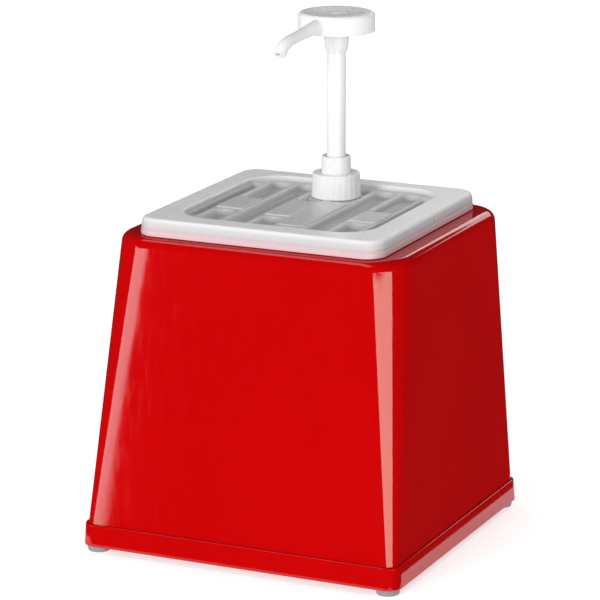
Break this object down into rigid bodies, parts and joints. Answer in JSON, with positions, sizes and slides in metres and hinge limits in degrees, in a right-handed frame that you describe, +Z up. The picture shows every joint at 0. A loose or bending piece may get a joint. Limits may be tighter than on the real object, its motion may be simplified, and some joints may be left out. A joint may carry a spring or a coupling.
{
  "type": "condiment pump dispenser",
  "caption": "Tapered counter-top housing holding a lift-out sauce container whose ribbed lid carries a hand pump with a swivelling spout.",
  "frame": {"origin": "middle of the footprint, on the surface that the feet stand on", "axes": "+Z up; -Y is the sloping front, +Y the upright back by the pump, +X the right-hand side seen from the front"},
  "size_m": [0.23, 0.22, 0.348],
  "materials": {
    "housing_red": "glossy moulded red ABS",
    "foot_rubber": "soft grey rubber",
    "container_clear": "translucent natural polypropylene",
    "lid_clear": "translucent natural polypropylene, lightly textured",
    "pump_white": "white polypropylene, satin gloss",
    "seal_soft": "soft food-grade elastomer",
    "tube_clear": "natural polyethylene tube",
    "steel": "stainless steel wire and balls"
  },
  "bodies": {
    "housing": {"housing_shell": "housing_red", "foot_front_left": "foot_rubber", "foot_front_right": "foot_rubber", "foot_rear_left": "foot_rubber", "foot_rear_right": "foot_rubber"},
    "bin": {"container": "container_clear"},
    "cover": {"lid": "lid_clear"},
    "pump": {"pump_cylinder": "pump_white", "locking_collar": "pump_white", "neck_gasket": "seal_soft", "stem_seal": "seal_soft", "dip_tube": "tube_clear", "ball_retainer": "pump_white", "return_spring": "steel"},
    "closure": {"screw_cap": "pump_white"},
    "plunger": {"piston": "pump_white", "piston_seal": "seal_soft"},
    "spout": {"pump_stem": "pump_white", "pump_head": "pump_white"},
    "inlet_valve": {"inlet_ball": "steel"},
    "outlet_valve": {"outlet_ball": "steel"}
  },
  "joints": [
    {"name": "container_lift", "type": "slide", "parent": "housing", "child": "bin", "axis": [0, 0, 1], "range_m": [0, 0.16]},
    {"name": "lid_lift", "type": "slide", "parent": "bin", "child": "cover", "axis": [0, 0, 1], "range_m": [0, 0.16]},
    {"name": "pump_lift", "type": "slide", "parent": "cover", "child": "pump", "axis": [0, 0, 1], "range_m": [0, 0.16]},
    {"name": "cap_turn", "type": "hinge", "parent": "pump", "child": "closure", "pos_m": [0, 0.0521, 0.23], "axis": [0, 0, 1], "range_deg": [0, 540]},
    {"name": "pump_stroke", "type": "slide", "parent": "pump", "child": "plunger", "axis": [0, 0, -1], "range_m": [0, 0.065], "stiffness_N_per_m": 150, "springref_m": -0.03, "deforming": ["return_spring"]},
    {"name": "head_swivel", "type": "hinge", "parent": "plunger", "child": "spout", "pos_m": [0, 0.0521, 0.33], "axis": [0, 0, 1], "continuous": true},
    {"name": "inlet_ball_lift", "type": "slide", "parent": "pump", "child": "inlet_valve", "axis": [0, 0, 1], "range_m": [0, 0.003]},
    {"name": "outlet_ball_lift", "type": "slide", "parent": "plunger", "child": "outlet_valve", "axis": [0, 0, 1], "range_m": [0, 0.003]}
  ]
}
